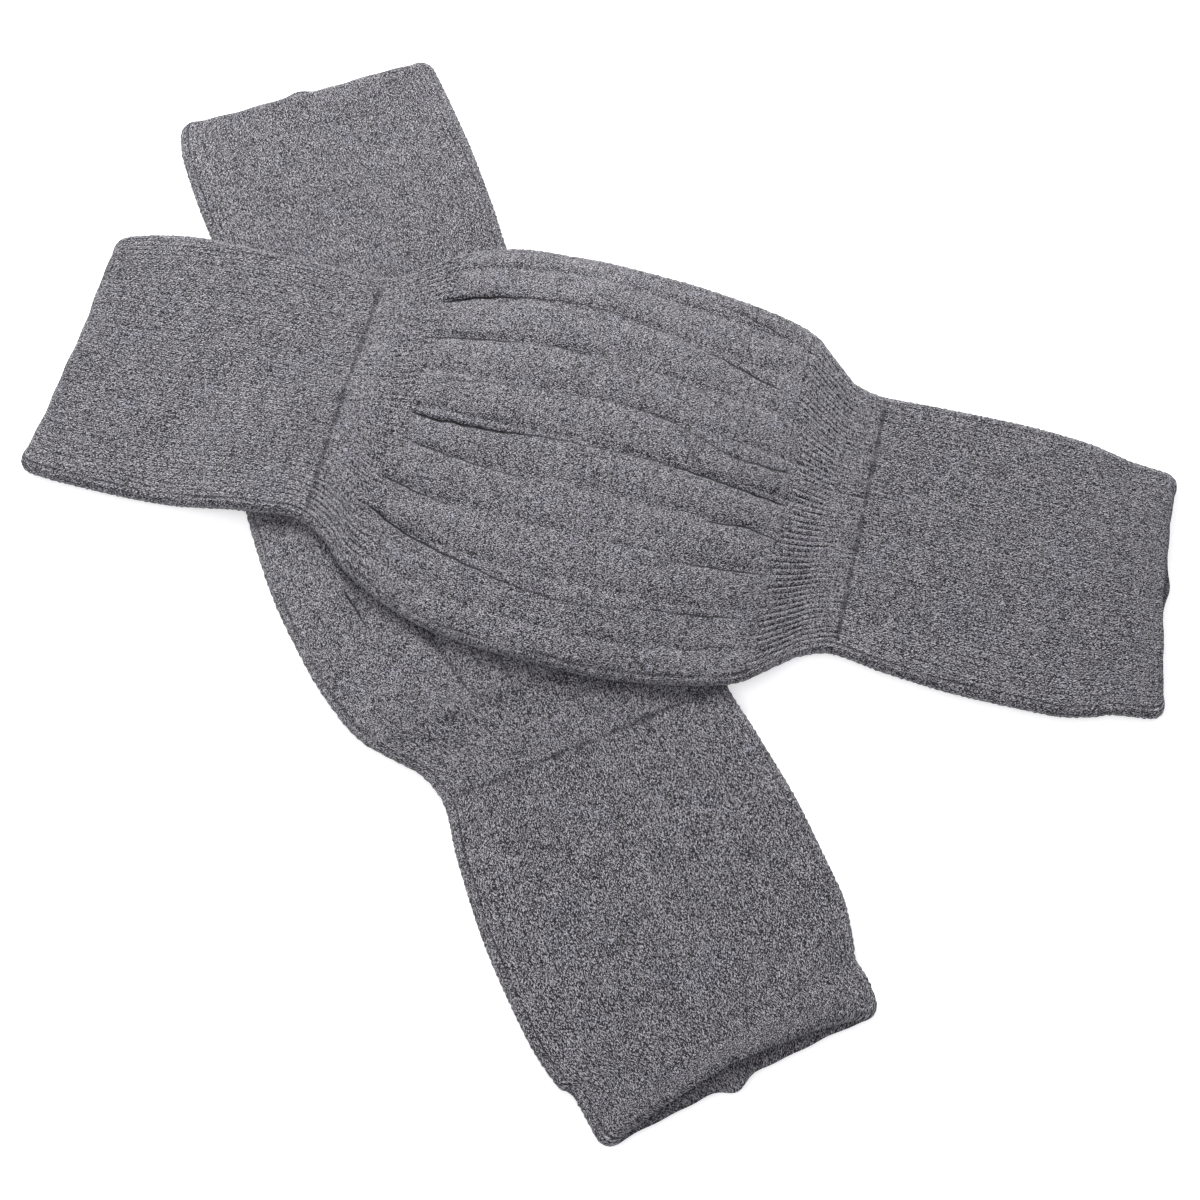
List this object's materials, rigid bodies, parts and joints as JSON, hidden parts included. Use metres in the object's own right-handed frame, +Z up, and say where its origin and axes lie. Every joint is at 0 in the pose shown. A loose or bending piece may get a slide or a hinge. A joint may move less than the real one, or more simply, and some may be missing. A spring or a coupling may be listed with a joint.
{
  "type": "pair of knee warmers",
  "caption": "Knitted knee warmers laid flat and crossed. Each is a soft tube with turned-in cuffs and a pleated pouch that keeps the knee warm.",
  "frame": {"origin": "on the table, under the middle of the pair's box", "axes": "+X to the right as the pair is looked at, +Y away from the viewer, +Z up from the table"},
  "size_m": [0.4072, 0.4002, 0.0164],
  "materials": {
    "cuff_knit": "heather grey plain knit, double, matt and slightly fuzzy",
    "knee_knit": "heather grey fine knit with rib bands, matt and slightly fuzzy"
  },
  "bodies": {
    "root": {"lower_calf_cuff": "cuff_knit", "lower_knee": "knee_knit", "lower_thigh_cuff": "cuff_knit", "upper_calf_cuff": "cuff_knit", "upper_knee": "knee_knit", "upper_thigh_cuff": "cuff_knit"}
  },
  "joints": []
}
